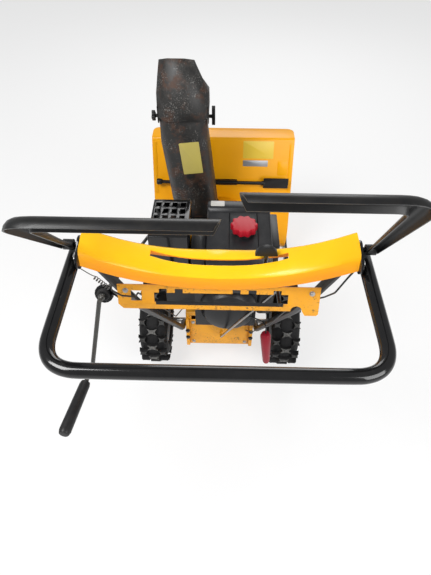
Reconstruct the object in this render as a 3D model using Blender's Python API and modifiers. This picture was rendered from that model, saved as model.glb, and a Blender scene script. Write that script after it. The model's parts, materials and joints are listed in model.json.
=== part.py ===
"""Walk-behind snowblower: auger housing, impeller drum, engine, drive frame, wheels and handlebar.

Metres, +Z up. The origin is on the ground under the middle of the axle, +Y points forward
and +X to the operator's right.
"""

import math

import bmesh
import bpy
from mathutils import Matrix, Vector

# Driving dimensions
GAP = 0.0004                      # clearance between pieces that touch
TYRE_RADIUS = 0.165
TYRE_WIDTH = 0.105
HALF_TRACK = 0.245
AXLE_RADIUS = 0.0095

SHEET = 0.0025                    # sheet metal of the housing
HOUSING_HALF = 0.3065
HOUSING_FRONT = 0.839
WALL_TOP = (0.6663, 0.5818)       # y, z of the bend under the top lip
WALL_LOW = (0.4993, 0.0865)       # y, z low on the leaning back wall
LIP_FRONT = 0.756
LIP_CORNER = 0.028
AUGER_AXIS = (0.685, 0.160)
WRAP_RADIUS = 0.150
AUGER_RADIUS = 0.136
IMPELLER_HEIGHT = 0.200
DRUM_RADIUS = 0.1375
DRUM_BACK = 0.360

CHUTE_CENTRE = (-0.105, 0.445)    # x, y of the swivel axis
SPOUT_TOP = 0.385
CHUTE_HALF = 0.085
CHUTE_TOP = 0.822
CHUTE_LEAN = -0.038               # sideways lean of the chute at its top
DEFLECTOR_PIVOT = (0.415, 0.806)  # y, z
DEFLECTOR_TOP = 0.998
DEFLECTOR_LEAN = -0.020

FRAME_HALF = 0.1254
FRAME_REAR = -0.0718
FRAME_FRONT = 0.288
FRAME_BOTTOM = 0.106
DECK = 0.290
FRAME_PLATE = 0.003
COVER_DEPTH = DRUM_BACK - FRAME_FRONT - 2 * GAP

CRANK_X = 0.030                   # engine crankshaft
CRANK_Z = 0.400
SHROUD_TOP = 0.690
CAP_CENTRE = (0.070, -0.080)
PANEL_LINES = (0.026, 0.113)

LOOP_RADIUS = 0.0136
LOOP_HALF = 0.2741
LOOP_REAR = -0.8142
LOOP_HEIGHT = 1.0055
LEG_TOP = (-0.556, 1.028)         # y, z of the loop's upper ends
PIVOT = (-0.5793, 1.0566)         # y, z of the lever pivots
LEVER_REACH = 0.2377
LEVER_RAISED = {"left": 47.6, "right": 56.2}
LEVER_END = {"left": 0.004, "right": 0.027}
LEVER_RADIUS = 0.0188
TUBE_RADIUS = 0.0105              # lower handles

PANEL_CENTRE = (-0.5704, 0.9130)   # y, z of the shift panel
PANEL_HALF = (0.2035, 0.0275)
PANEL_TILT = math.radians(18)
SHIFT_PIVOT = (0.0067, -0.0935, 0.190)
SHIFT_GATE = 0.122                # x of the lever in the gate
DASH_SLOT = (0.135, -0.5305, 0.0076)   # half length, y, half width

EYELET = (-0.2425, -0.556, 0.893)
CRANK_FRONT = (-0.2235, 0.430, 0.380)
CRANK_ROD = 0.005
WORM_RADIUS = 0.0165
KNUCKLE = 0.0075

# Finishes: colour, roughness, metallic
YELLOW = ((0.80, 0.37, 0.012), 0.42, 0.0)
PLASTIC_YELLOW = ((0.86, 0.50, 0.02), 0.38, 0.0)
BLACK_PAINT = ((0.022, 0.022, 0.024), 0.38, 0.0)
BLACK_PLASTIC = ((0.030, 0.030, 0.033), 0.55, 0.0)
RUBBER = ((0.020, 0.020, 0.021), 0.80, 0.0)
STEEL = ((0.42, 0.42, 0.41), 0.38, 0.9)
CAST = ((0.16, 0.16, 0.165), 0.55, 0.7)
RUSTY = ((0.060, 0.048, 0.042), 0.60, 0.3)
RED = ((0.52, 0.025, 0.045), 0.45, 0.0)

for old in list(bpy.data.objects):
    bpy.data.objects.remove(old, do_unlink=True)
parts = bpy.data.collections.new("snowblower")
cutters = bpy.data.collections.new("snowblower_cutters")
bpy.context.scene.collection.children.link(parts)
bpy.context.scene.collection.children.link(cutters)


def joint_empty(name, place):
    """An empty on a joint's axis, which carries the pieces that move with it."""
    empty = bpy.data.objects.new(name, None)
    empty.location = place
    empty.empty_display_size = 0.03
    parts.objects.link(empty)
    return empty


def add(name, data, look, body=None, matrix=None):
    """Make a named part from mesh or curve data, with its own material, carried by a body."""
    piece = bpy.data.objects.new(name, data)
    parts.objects.link(piece)
    if matrix is not None:
        piece.matrix_world = matrix
    colour, roughness, metallic = look
    finish = bpy.data.materials.new(name + "_finish")
    finish.use_nodes = True
    shader = finish.node_tree.nodes["Principled BSDF"]
    shader.inputs["Base Color"].default_value = (*colour, 1)
    shader.inputs["Roughness"].default_value = roughness
    shader.inputs["Metallic"].default_value = metallic
    data.materials.append(finish)
    if body is not None:
        piece.parent = body
        piece.matrix_parent_inverse = Matrix.Translation(-body.location)
    return piece


def mesh_of(bm, name, smooth=True):
    mesh = bpy.data.meshes.new(name)
    bmesh.ops.recalc_face_normals(bm, faces=bm.faces)
    bm.to_mesh(mesh)
    bm.free()
    if smooth:
        mesh.shade_smooth()
        mesh.set_sharp_from_angle(angle=math.radians(35))
    return mesh


def round_edges(piece, width, segments=2, angle=40):
    bevel = piece.modifiers.new("rounded", "BEVEL")
    bevel.width = width
    bevel.segments = segments
    bevel.limit_method = "ANGLE"
    bevel.angle_limit = math.radians(angle)
    return piece


def block(name, low, high, look, body=None, rounded=0.0):
    """A box between two corners."""
    low, high = Vector(low), Vector(high)
    bm = bmesh.new()
    bmesh.ops.create_cube(bm, size=1.0)
    bmesh.ops.scale(bm, vec=high - low, verts=bm.verts)
    place = Matrix.Translation((low + high) / 2)
    piece = add(name, mesh_of(bm, name, smooth=False), look, body, place)
    if rounded:
        round_edges(piece, rounded)
    return piece


def along(direction):
    """Rotation that takes local Z to a direction."""
    return Vector((0, 0, 1)).rotation_difference(Vector(direction)).to_matrix().to_4x4()


def rod(name, start, end, radius, look, body=None, sides=20, end_radius=None):
    """A round bar, or a cone with its own end radius."""
    start, end = Vector(start), Vector(end)
    bm = bmesh.new()
    bmesh.ops.create_cone(bm, cap_ends=True, segments=sides, radius1=radius,
                          radius2=radius if end_radius is None else end_radius,
                          depth=(end - start).length)
    place = Matrix.Translation((start + end) / 2) @ along(end - start)
    return add(name, mesh_of(bm, name), look, body, place)


def turned(name, profile, place, axis, look, body=None, steps=32, ring=False):
    """A turned piece: profile points are (radius, height along the axis)."""
    area = sum(a[0] * b[1] - b[0] * a[1] for a, b in zip(profile, profile[1:] + profile[:1]))
    if area > 0:
        profile = profile[::-1]
    mesh = bpy.data.meshes.new(name)
    edges = [(i, i + 1) for i in range(len(profile) - 1)]
    if ring:
        edges.append((len(profile) - 1, 0))
    mesh.from_pydata([(r, 0, h) for r, h in profile], edges, [])
    piece = add(name, mesh, look, body, Matrix.Translation(place) @ along(axis))
    screw = piece.modifiers.new("turn", "SCREW")
    screw.steps = steps
    screw.render_steps = steps
    screw.use_merge_vertices = True
    screw.merge_threshold = 0.00001
    screw.use_smooth_shade = True
    weld = piece.modifiers.new("seam", "WELD")
    weld.merge_threshold = 0.00002
    return piece


def plate(name, loops, thickness, origin, across, up, look, body=None):
    """A flat outline, with its holes as further loops, extruded to a thickness."""
    curve = bpy.data.curves.new(name, "CURVE")
    curve.dimensions = "2D"
    curve.fill_mode = "BOTH"
    curve.extrude = thickness / 2
    for loop in loops:
        spline = curve.splines.new("POLY")
        spline.points.add(len(loop) - 1)
        for point, (a, b) in zip(spline.points, loop):
            point.co = (a, b, 0, 1)
        spline.use_cyclic_u = True
    across, up = Vector(across).normalized(), Vector(up).normalized()
    turn = Matrix((across, up, across.cross(up))).transposed().to_4x4()
    return add(name, curve, look, body, Matrix.Translation(origin) @ turn)


def wire(name, points, radius, look, body=None, fineness=2):
    """A tube or cable along points."""
    curve = bpy.data.curves.new(name, "CURVE")
    curve.dimensions = "3D"
    curve.bevel_depth = radius
    curve.bevel_resolution = fineness
    curve.use_fill_caps = True
    spline = curve.splines.new("POLY")
    spline.points.add(len(points) - 1)
    for point, place in zip(spline.points, points):
        point.co = (*place, 1)
    return add(name, curve, look, body)


def as_mesh(piece):
    """Turn a curve part into a welded mesh part of the same name, so that it can be cut or joined."""
    bpy.context.view_layer.update()
    evaluated = piece.evaluated_get(bpy.context.evaluated_depsgraph_get())
    mesh = bpy.data.meshes.new_from_object(evaluated)
    bm = bmesh.new()
    bm.from_mesh(mesh)
    bmesh.ops.remove_doubles(bm, verts=bm.verts, dist=0.00001)
    bmesh.ops.recalc_face_normals(bm, faces=bm.faces)
    bm.to_mesh(mesh)
    bm.free()
    solid = bpy.data.objects.new(piece.name + "_solid", mesh)
    parts.objects.link(solid)
    solid.matrix_world = piece.matrix_world
    name, body = piece.name, piece.parent
    bpy.data.objects.remove(piece, do_unlink=True)
    solid.name = name
    if body is not None:
        solid.parent = body
        solid.matrix_parent_inverse = Matrix.Translation(-body.location)
    return solid


def loft(name, rings, look, body=None, closed=False, smooth=True):
    """A skin through rings of points, capped at its ends or closed on itself."""
    bm = bmesh.new()
    rows = [[bm.verts.new(p) for p in ring] for ring in rings]
    pairs = list(zip(rows, rows[1:]))
    if closed:
        pairs.append((rows[-1], rows[0]))
    count = len(rings[0])
    for first, second in pairs:
        for i in range(count):
            j = (i + 1) % count
            bm.faces.new((first[i], first[j], second[j], second[i]))
    if not closed:
        bm.faces.new(rows[0])
        bm.faces.new(rows[-1][::-1])
    return add(name, mesh_of(bm, name, smooth), look, body)


def boolean(piece, tool, operation):
    """Cut or join with a tool object, which stays hidden among the cutters."""
    parts.objects.unlink(tool)
    cutters.objects.link(tool)
    tool.hide_render = True
    tool.display_type = "WIRE"
    change = piece.modifiers.new(operation.lower(), "BOOLEAN")
    change.operation = operation
    change.object = tool
    return piece


def arc(centre, radius, first, last, steps):
    """Points on an arc, angles in degrees."""
    turns = [math.radians(first + (last - first) * i / steps) for i in range(steps + 1)]
    return [(centre[0] + radius * math.cos(t), centre[1] + radius * math.sin(t)) for t in turns]


def circle(centre, radius, count):
    return arc(centre, radius, 0, 360 - 360 / count, count - 1)


def capsule(low, high, radius, steps=6):
    """A slot outline between two points on a horizontal or slanted line."""
    angle = math.degrees(math.atan2(high[1] - low[1], high[0] - low[0]))
    return arc(high, radius, angle - 90, angle + 90, steps) + arc(low, radius, angle + 90, angle + 270,
                                                                  steps)


def belt_hull(first, r1, second, r2, steps=8):
    """Outline of a belt around two pulleys."""
    apart = Vector(second) - Vector(first)
    heading = math.degrees(math.atan2(apart.y, apart.x))
    spread = math.degrees(math.acos((r1 - r2) / apart.length))
    return (arc(second, r2, heading - spread, heading + spread, steps)
            + arc(first, r1, heading + spread, heading + 360 - spread, steps))


def filleted(points, radius, steps=6):
    """A polyline in space with its inner corners rounded."""
    points = [Vector(p) for p in points]
    result = [points[0]]
    for before, corner, after in zip(points, points[1:], points[2:]):
        a, b = (before - corner).normalized(), (after - corner).normalized()
        half = a.angle(b) / 2
        reach = min(radius / math.tan(half), (before - corner).length * 0.49,
                    (after - corner).length * 0.49)
        start, end = corner + a * reach, corner + b * reach
        for i in range(steps + 1):
            t = i / steps
            result.append(start.lerp(corner, t).lerp(corner.lerp(end, t), t))
    return result + [points[-1]]


def mirrored(points, side):
    """Points of the right-hand piece, or their mirror image for the left."""
    sign = 1 if side == "right" else -1
    return [(sign * p[0], p[1], p[2]) for p in points]


def thin_outline(path, thickness):
    """Closed outline of a sheet whose outer face follows a path of (a, b) points."""
    inner = []
    for i, point in enumerate(path):
        before = Vector(path[max(i - 1, 0)])
        after = Vector(path[min(i + 1, len(path) - 1)])
        run = (after - before).normalized()
        inner.append((point[0] - run.y * thickness, point[1] + run.x * thickness))
    return list(path) + inner[::-1]


def wall_y(z):
    """Depth of the leaning back wall at a height."""
    share = (z - WALL_LOW[1]) / (WALL_TOP[1] - WALL_LOW[1])
    return WALL_LOW[0] + share * (WALL_TOP[0] - WALL_LOW[0])


SIDES = {"left": -1, "right": 1}
wheels = joint_empty("wheels", (0, 0, TYRE_RADIUS))
auger = joint_empty("auger", (0, *AUGER_AXIS))
impeller_body = joint_empty("impeller_body", (0, DRUM_BACK, IMPELLER_HEIGHT))
engine_shaft = joint_empty("engine_shaft", (CRANK_X, 0.2, CRANK_Z))
chute_body = joint_empty("chute_body", (*CHUTE_CENTRE, SPOUT_TOP))
deflector_body = joint_empty("deflector_body", (CHUTE_CENTRE[0] + CHUTE_LEAN, *DEFLECTOR_PIVOT))
levers = {side: joint_empty("lever_" + side + "_body", (sign * 0.27, *PIVOT)) for side,
          sign in SIDES.items()}
shift_body = joint_empty("shift_body", SHIFT_PIVOT)
crank_spin = joint_empty("crank_spin", CRANK_FRONT)
crank_hang = joint_empty("crank_hang", EYELET)
cap_body = joint_empty("cap_body", (*CAP_CENTRE, SHROUD_TOP))
grip_body = joint_empty("grip_body", (0.150, -0.250, 0.400))
tool_body = joint_empty("tool_body", (0, 0.590, 0.412))


def auger_housing():
    """Bent sheet that wraps the auger, its side plates, scraper bar and skid shoes."""
    lean = math.degrees(math.atan2(WALL_TOP[0] - WALL_LOW[0], WALL_TOP[1] - WALL_LOW[1]))
    wrap = [(LIP_FRONT, WALL_TOP[1] - 0.012), (LIP_FRONT, WALL_TOP[1])]
    wrap += arc((WALL_TOP[0] + 0.012, WALL_TOP[1] - 0.012), 0.012, 90, 180 - lean, 5)
    wrap += arc(AUGER_AXIS, WRAP_RADIUS + SHEET, 180 - lean, 270, 16)
    wrap += [(0.765, AUGER_AXIS[1] - WRAP_RADIUS - SHEET)]
    shell = as_mesh(plate("housing_shell", [thin_outline(wrap, SHEET)], 2 * HOUSING_HALF, (0, 0, 0),
                          (0, 1, 0), (0, 0, 1), YELLOW))
    boolean(shell, rod("impeller_mouth", (0, 0.40, IMPELLER_HEIGHT), (0, 0.68, IMPELLER_HEIGHT), 0.131,
                       YELLOW, sides=36), "DIFFERENCE")

    for sign in SIDES.values():
        corner = (HOUSING_HALF - LIP_CORNER, LIP_FRONT - LIP_CORNER)
        cut = arc(corner, LIP_CORNER, 0, 90, 4) + [(corner[0], LIP_FRONT + 0.01),
                                                   (HOUSING_HALF + 0.01, LIP_FRONT + 0.01),
                                                   (HOUSING_HALF + 0.01, corner[1])]
        cut = [(sign * x, y) for x, y in cut]
        boolean(shell, as_mesh(plate("lip_corner", [cut], 0.08, (0, 0, WALL_TOP[1]), (1, 0, 0), (0, 1, 0),
                                     YELLOW)), "DIFFERENCE")

    inset = SHEET + GAP
    outline = arc(AUGER_AXIS, WRAP_RADIUS - GAP, 180 - lean, 270, 12)
    outline += [(0.766, AUGER_AXIS[1] - WRAP_RADIUS + GAP), (0.806, 0.030)]
    outline += arc((HOUSING_FRONT - 0.040, 0.110), 0.040, -30, 0, 3)
    outline += [(HOUSING_FRONT, 0.270)]
    outline += arc((HOUSING_FRONT - 0.10, 0.285), 0.10, 0, 40, 5)
    outline += [(LIP_FRONT - LIP_CORNER, WALL_TOP[1] - 0.014)]
    outline += arc((WALL_TOP[0] + 0.012, WALL_TOP[1] - 0.012), 0.012 - inset, 90, 180 - lean, 4)
    for side, sign in SIDES.items():
        bore = circle(AUGER_AXIS, 0.0145, 16)
        plate("side_plate_" + side, [outline, bore], SHEET, (sign * (HOUSING_HALF - SHEET / 2), 0, 0),
              (0, 1, 0), (0, 0, 1), YELLOW)
        turned("auger_bearing_" + side, [(0.0112, 0.0), (0.0112, 0.012), (0.017, 0.012), (0.028, 0.003),
                                         (0.028, 0.0)], (sign * (HOUSING_HALF + GAP), *AUGER_AXIS),
               (sign, 0, 0), BLACK_PLASTIC, steps=16, ring=True)
        runner = [(0.480, 0.034), (0.500, 0.012), (0.522, 0.0), (0.660, 0.0), (0.682, 0.012),
                  (0.702, 0.034)]
        inner = sign * (HOUSING_HALF + GAP)
        shoe = as_mesh(plate("skid_shoe_" + side, [thin_outline(runner, 0.004)], 0.026,
                             (inner + sign * 0.013, 0, 0), (0, 1, 0), (0, 0, 1), BLACK_PAINT))
        web = [(0.5085, 0.0075), (0.523, 0.0025), (0.659, 0.0025), (0.6735, 0.0075), (0.664, 0.078),
               (0.518, 0.078)]
        slots = [capsule((y, 0.046), (y, 0.062), 0.005, 4) for y in (0.545, 0.637)]
        boolean(shoe, as_mesh(plate("shoe_web_" + side, [web] + slots, 0.004,
                                    (inner + sign * 0.002, 0, 0), (0, 1, 0), (0, 0, 1), BLACK_PAINT)),
                "UNION")
    block("scraper_bar", (-0.300, 0.690, 0.0018), (0.300, 0.768, 0.0068), STEEL)


def impeller_drum():
    """Round drum behind the housing with its spout, and the fan that turns in it."""
    floor = 0.004
    drum = rod("impeller_drum", (0, DRUM_BACK, IMPELLER_HEIGHT), (0, 0.62, IMPELLER_HEIGHT), DRUM_RADIUS,
               YELLOW, sides=28)
    x, y = CHUTE_CENTRE
    spout = rod("spout_outer", (x, y, 0.232), (x, y, SPOUT_TOP), 0.080, YELLOW, sides=24)
    boolean(drum, spout, "UNION")
    bore = rod("spout_bore", (x, y, 0.236), (x, y, SPOUT_TOP + 0.02), 0.0775, YELLOW, sides=24)
    boolean(drum, bore, "DIFFERENCE")
    boolean(drum, rod("drum_shaft_bore", (0, 0.3, IMPELLER_HEIGHT), (0, 0.4, IMPELLER_HEIGHT), 0.0100,
                      YELLOW), "DIFFERENCE")
    inside = rod("drum_bore", (0, DRUM_BACK + floor, IMPELLER_HEIGHT), (0, 0.80, IMPELLER_HEIGHT),
                 DRUM_RADIUS - 0.003, YELLOW, sides=28)
    boolean(drum, inside, "DIFFERENCE")
    lean = math.atan2(WALL_TOP[0] - WALL_LOW[0], WALL_TOP[1] - WALL_LOW[1])
    middle = wall_y(IMPELLER_HEIGHT)
    ahead = block("ahead_of_wall", (-0.4, middle - GAP, -0.4), (0.4, middle + 0.6, 0.8), YELLOW)
    tilt = Matrix.Rotation(-lean, 4, "X")
    pivot = Vector((0, middle - GAP, IMPELLER_HEIGHT))
    ahead.matrix_world = Matrix.Translation(pivot) @ tilt @ Matrix.Translation((0, 0.3, 0))
    boolean(drum, ahead, "DIFFERENCE")

    fan = turned("impeller", [(0, -0.052), (0.0095, -0.052), (0.0095, 0.070), (0.026, 0.070),
                              (0.026, 0.115), (0.0095, 0.115), (0.0095, 0.2925), (0, 0.2925)],
                 (0, DRUM_BACK, IMPELLER_HEIGHT), (0, 1, 0), BLACK_PAINT, impeller_body, steps=20)
    for i in range(4):
        turn = Matrix.Rotation(math.radians(90 * i + 20), 4, "Y")
        blade = block("impeller_blade", (0.018, 0.072, -0.002), (0.126, 0.112, 0.002), BLACK_PAINT)
        tip = block("impeller_tip", (0.121, 0.072, -0.002), (0.126, 0.112, 0.026), BLACK_PAINT)
        for piece in (blade, tip):
            piece.matrix_world = (Matrix.Translation((0, DRUM_BACK, IMPELLER_HEIGHT)) @ turn
                                  @ piece.matrix_world)
            boolean(fan, piece, "UNION")


def auger_ribbons():
    """Cross shaft, gear case and two open ribbons that feed snow to the middle."""
    rod("auger_shaft", (-0.325, *AUGER_AXIS), (0.325, *AUGER_AXIS), 0.0105, STEEL, auger, sides=16)
    case = turned("gear_case", [(0.0112, -0.040), (0.030, -0.040), (0.046, -0.026), (0.046, 0.026),
                                (0.030, 0.040), (0.0112, 0.040)],
                  (0, *AUGER_AXIS), (1, 0, 0), CAST, steps=16, ring=True)
    neck = rod("gear_case_neck", (0, AUGER_AXIS[0] + 0.035, IMPELLER_HEIGHT),
               (0, AUGER_AXIS[0] - 0.068, IMPELLER_HEIGHT), 0.024, CAST, sides=20)
    boolean(case, neck, "UNION")
    boolean(case, rod("case_cross_bore", (-0.1, *AUGER_AXIS), (0.1, *AUGER_AXIS), 0.0110, CAST, sides=16),
            "DIFFERENCE")
    boolean(case, rod("case_worm_bore", (0, 0.5, IMPELLER_HEIGHT), (0, 0.6565, IMPELLER_HEIGHT), 0.0100,
                      CAST, sides=20), "DIFFERENCE")
    turns, steps = 1.5, 28
    for side, sign in SIDES.items():
        near, far = 0.052, HOUSING_HALF - 0.014
        tube = turned("auger_" + side, [(0.0109, near), (0.0109, far), (0.017, far), (0.017, near)],
                      (0, *AUGER_AXIS), (sign, 0, 0), BLACK_PAINT, auger, steps=16, ring=True)
        rings = []
        for i in range(steps + 1):
            share = i / steps
            angle = sign * 2 * math.pi * turns * share + math.pi / 2
            x = sign * (near + 0.012 + (far - near - 0.024) * share)
            ring = []
            for radius, shift in ((0.092, -0.002), (AUGER_RADIUS, -0.002), (AUGER_RADIUS, 0.002),
                                  (0.092, 0.002)):
                ring.append((x + shift, AUGER_AXIS[0] + radius * math.cos(angle),
                             AUGER_AXIS[1] + radius * math.sin(angle)))
            rings.append(ring)
        boolean(tube, loft("auger_ribbon_" + side, rings, BLACK_PAINT, smooth=False), "UNION")
        for share in (0.03, 0.5, 0.97):
            angle = sign * 2 * math.pi * turns * share + math.pi / 2
            x = sign * (near + 0.012 + (far - near - 0.024) * share)
            out = Vector((0, math.cos(angle), math.sin(angle)))
            centre = Vector((x, *AUGER_AXIS))
            boolean(tube, rod("auger_arm_" + side, centre + out * 0.0145, centre + out * 0.108, 0.006,
                              BLACK_PAINT, sides=8), "UNION")


def chute():
    """Swivel ring, leaning steel chute, tilting deflector and its two knobs."""
    x, y = CHUTE_CENTRE
    teeth = 32
    outline = []
    for i in range(teeth * 2):
        radius = 0.1015 if i % 2 else 0.096
        angle = math.pi * i / teeth
        outline.append((radius * math.cos(angle), radius * math.sin(angle)))
    plate("chute_gear", [outline, circle((0, 0), 0.0765, 28)], 0.006, (x, y, SPOUT_TOP + 0.003 + GAP),
          (1, 0, 0), (0, 1, 0), BLACK_PAINT, chute_body)

    def channel(half, rear, front, grow):
        """Folded U section, open to the front, of a given wall; grow pushes it outwards."""
        cut = 0.030
        path = [(half + grow, front), (half + grow, rear + cut), (half - cut + grow * 0.4, rear - grow),
                (-half + cut - grow * 0.4, rear - grow), (-half - grow, rear + cut),
                (-half - grow, front)]
        return path

    wall = 0.002
    foot = SPOUT_TOP + 0.006 + 2 * GAP
    rings = []
    for share in (0.0, 0.25, 0.5, 0.75, 1.0):
        z = foot + (CHUTE_TOP - foot) * share
        lean = CHUTE_LEAN * min(1, share / 0.75)
        rear = -0.083 + 0.004 * share
        front = 0.060 + 0.022 * share
        outer = channel(CHUTE_HALF, rear, front, 0)
        inner = channel(CHUTE_HALF, rear, front, -wall)[::-1]
        rings.append([(x + lean + a, y + b, z) for a, b in outer + inner])
    body = loft("chute", rings, RUSTY, chute_body, smooth=False)
    side_x = x + CHUTE_LEAN
    for side, sign in SIDES.items():
        ear = [(-0.017, -0.060), (0.030, -0.060), (0.030, 0.0145), (-0.017, 0.0145)]
        boolean(body, as_mesh(plate("chute_ear_" + side, [ear], wall * 0.9,
                                    (side_x + sign * (CHUTE_HALF - wall / 2), *DEFLECTOR_PIVOT),
                                    (0, 1, 0), (0, 0, 1), RUSTY)), "UNION")

    rings = []
    low = CHUTE_TOP - 0.012
    for share in (0.0, 0.2, 0.45, 0.7, 0.92, 1.0):
        z = low + (DEFLECTOR_TOP - low) * share
        grow = wall + 0.0012
        taper = max(0, share - 0.45) / 0.55
        half = CHUTE_HALF + 0.003 - 0.030 * taper
        rear = -0.082 + 0.070 * share * share
        front = max(0.074 - 0.100 * share, rear + 0.038)
        outer = channel(half, rear, front, grow)
        inner = channel(half, rear, front, grow - wall)[::-1]
        drop = 0.5 * share * share
        rings.append([(side_x + DEFLECTOR_LEAN * taper + a, y + b, z - drop * (b - rear))
                      for a, b in outer + inner])
    hood = loft("deflector", rings, RUSTY, deflector_body, smooth=False)
    for side, sign in SIDES.items():
        face = side_x + sign * (CHUTE_HALF + 0.003 + wall * 0.5 + 0.0012)
        ear = arc((0, 0), 0.026, 180, 360, 8) + [(0.026, 0.045), (-0.026, 0.045)]
        boolean(hood, as_mesh(plate("hood_ear_" + side, [ear], wall * 0.96, (face, *DEFLECTOR_PIVOT),
                                    (0, 1, 0), (0, 0, 1), RUSTY)), "UNION")
        spacer = side_x + sign * (CHUTE_HALF + GAP)
        boolean(hood, rod("hood_spacer_" + side, (spacer, *DEFLECTOR_PIVOT), (face, *DEFLECTOR_PIVOT),
                          0.010, RUSTY, sides=16), "UNION")
        lobes = []
        for i in range(24):
            angle = 2 * math.pi * i / 24
            radius = 0.0165 + 0.0035 * math.cos(4 * angle)
            lobes.append((radius * math.cos(angle), radius * math.sin(angle)))
        wing = {"left": lobes, "right": capsule((0.004, -0.026), (-0.004, 0.032), 0.009, 5)}[side]
        stem = face + sign * (wall * 0.48 + GAP)
        knob = as_mesh(plate("deflector_knob_" + side, [wing], 0.012,
                             (stem + sign * 0.016, *DEFLECTOR_PIVOT), (0, 1, 0), (0, 0, 1),
                             BLACK_PLASTIC, deflector_body))
        boolean(knob, rod("knob_stem_" + side, (stem, *DEFLECTOR_PIVOT),
                          (stem + sign * 0.014, *DEFLECTOR_PIVOT), 0.0065, BLACK_PLASTIC, sides=14),
                "UNION")


def drive_frame():
    """Folded steel box that carries the engine and the axle, with its rear cover."""
    box = block("frame_box", (-FRAME_HALF, FRAME_REAR, FRAME_BOTTOM), (FRAME_HALF, FRAME_FRONT, DECK),
                YELLOW, rounded=0.006)
    p = FRAME_PLATE
    cuts = [block("frame_hollow", (-FRAME_HALF + p, FRAME_REAR + p, FRAME_BOTTOM + p),
                  (FRAME_HALF - p, FRAME_FRONT - p, DECK - p), YELLOW),
            block("frame_window", (-0.104, FRAME_REAR - 0.02, 0.124), (0.104, FRAME_REAR + 0.02, 0.274),
                  YELLOW), rod("axle_bore", (-0.2, 0, TYRE_RADIUS), (0.2, 0, TYRE_RADIUS), 0.0101,
                               YELLOW)]
    for cutter in cuts:
        boolean(box, cutter, "DIFFERENCE")
    cover = block("frame_cover", (-0.112, FRAME_REAR - 0.0028, 0.116), (0.112, FRAME_REAR - GAP, 0.256),
                  YELLOW)
    x, y, z = SHIFT_PIVOT
    boolean(cover, rod("shift_boss", (x, FRAME_REAR - 0.001, z), (x, y + 0.0037, z), 0.006, YELLOW,
                       sides=16), "UNION")


def wheel_set():
    """Axle, rims and lugged tyres, which turn together."""
    rod("axle", (-0.296, 0, TYRE_RADIUS), (0.296, 0, TYRE_RADIUS), AXLE_RADIUS, STEEL, wheels, sides=16)
    half = TYRE_WIDTH / 2
    carcass = TYRE_RADIUS - 0.013
    pitches = 15
    for side, sign in SIDES.items():
        centre = Vector((sign * HALF_TRACK, 0, TYRE_RADIUS))
        bore = AXLE_RADIUS + 0.0006
        hub = [(bore, -0.030), (0.020, -0.030), (0.020, -0.006), (0.058, -0.004), (0.070, -0.034),
               (0.088, -0.0425), (0.088, -0.0390), (0.079, -0.0386), (0.079, 0.0386), (0.088, 0.0390),
               (0.088, 0.0425), (0.070, 0.034), (0.058, 0.002), (0.020, 0.000), (0.020, 0.036),
               (bore, 0.036)]
        turned("rim_" + side, hub, centre, (sign, 0, 0), BLACK_PAINT, wheels, steps=16, ring=True)
        rings = []
        for i in range(pitches * 4):
            angle = 2 * math.pi * i / (pitches * 4)
            quarter = i % 4
            raised = {0: "side", 1: "side", 2: "middle", 3: "middle"}[quarter]
            tread = []
            for share, zone in ((-1.0, "side"), (-0.42, "side"), (-0.36, "middle"), (0.36, "middle"),
                                (0.42, "side"), (1.0, "side")):
                drop = 0.004 if abs(share) == 1.0 else 0.0
                radius = TYRE_RADIUS - drop if zone == raised else carcass - drop
                tread.append((share * half, radius))
            section = tread + [(half * 0.98, 0.118), (half * 0.84, 0.0935), (0.0384, 0.0880),
                               (0.0380, 0.0796), (-0.0380, 0.0796), (-0.0384, 0.0880),
                               (-half * 0.84, 0.0935), (-half * 0.98, 0.118)]
            rings.append([centre + Vector((a, r * math.sin(angle), r * math.cos(angle))) 
                          for a, r in section])
        loft("tyre_" + side, rings, RUBBER, wheels, closed=True, smooth=False)


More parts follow.
